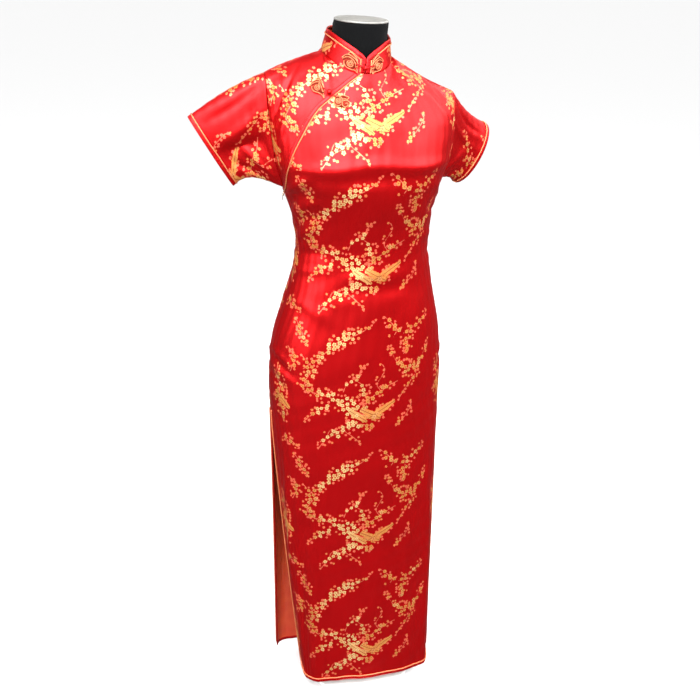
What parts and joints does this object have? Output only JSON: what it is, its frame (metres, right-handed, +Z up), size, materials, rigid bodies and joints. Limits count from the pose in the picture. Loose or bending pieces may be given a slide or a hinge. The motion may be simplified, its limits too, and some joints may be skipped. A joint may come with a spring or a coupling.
{
  "type": "cheongsam dress on a limbless dress form",
  "caption": "Ankle-length fitted cheongsam with short sleeves, stand collar, slanting lapel and side slits, worn by a limbless dress form on a pole and round base.",
  "frame": {"origin": "centre of the round base's underside, on the floor", "axes": "+Z up; the dress's front faces -Y; the wearer's right side is towards -X"},
  "size_m": [0.5889, 0.2622, 1.4191],
  "materials": {
    "satin": "woven satin brocade, glossy",
    "binding": "satin bias binding, glossy",
    "gold_cord": "satin piping cord, gold",
    "metal": "plated zip metal",
    "jersey": "matt black jersey over foam",
    "cap": "satin grey-white neck cap",
    "white_paint": "semi-gloss white paint"
  },
  "bodies": {
    "dress_and_form": {"front_panel": "satin", "right_yoke": "satin", "back_panel": "satin", "sleeve_right": "satin", "sleeve_left": "satin", "collar": "satin", "lapel_binding": "binding", "front_hem_binding": "binding", "back_hem_binding": "binding", "cuff_right_binding": "binding", "cuff_left_binding": "binding", "collar_binding": "binding", "lapel_piping": "gold_cord", "front_hem_piping": "gold_cord", "back_hem_piping": "gold_cord", "cuff_right_piping": "gold_cord", "cuff_left_piping": "gold_cord", "collar_piping": "gold_cord", "frog_collar_right": "gold_cord", "frog_collar_left": "gold_cord", "knot_collar": "binding", "frog_chest_right": "gold_cord", "frog_chest_left": "gold_cord", "knot_chest": "binding", "zip_slider": "metal", "zip_bail": "metal", "form_torso": "jersey", "neck_cap": "cap", "stand": "white_paint"},
    "pull_tab": {"zip_tab": "metal"}
  },
  "joints": [
    {"name": "pull_tab_hinge", "type": "hinge", "parent": "dress_and_form", "child": "pull_tab", "pos_m": [-0.14872, 0.00364, 1.1025], "axis": [0, 1, 0], "range_deg": [0, 90]}
  ]
}
